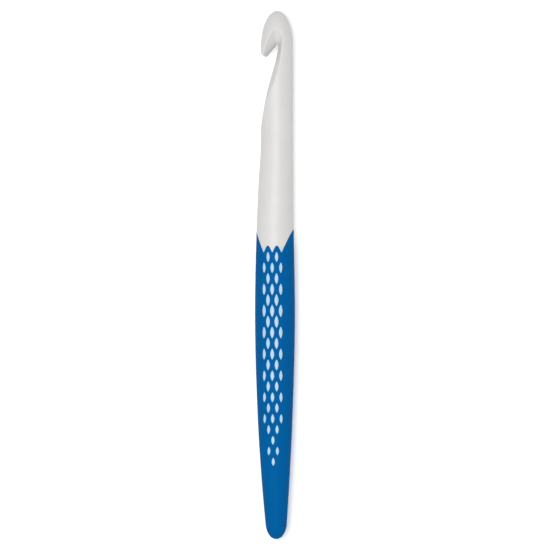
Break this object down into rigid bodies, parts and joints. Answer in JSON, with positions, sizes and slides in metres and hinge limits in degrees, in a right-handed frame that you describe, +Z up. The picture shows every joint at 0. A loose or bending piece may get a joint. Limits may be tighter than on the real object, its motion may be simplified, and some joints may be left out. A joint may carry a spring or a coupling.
{
  "type": "crochet hook",
  "caption": "Large crochet hook: rounded head with a flared throat, tapered shaft, and a soft overmoulded grip with lens-shaped studs showing through.",
  "frame": {"origin": "on the surface the hook lies on, under the middle of its bounding box", "axes": "+Y along the hook from tail to head, +Z up through the studded face, throat open towards -X"},
  "size_m": [0.0136, 0.18, 0.0138],
  "materials": {
    "hook_plastic": "satin",
    "grip_rubber": "soft touch"
  },
  "bodies": {
    "root": {"hook_core": "hook_plastic", "soft_grip": "grip_rubber"}
  },
  "joints": []
}
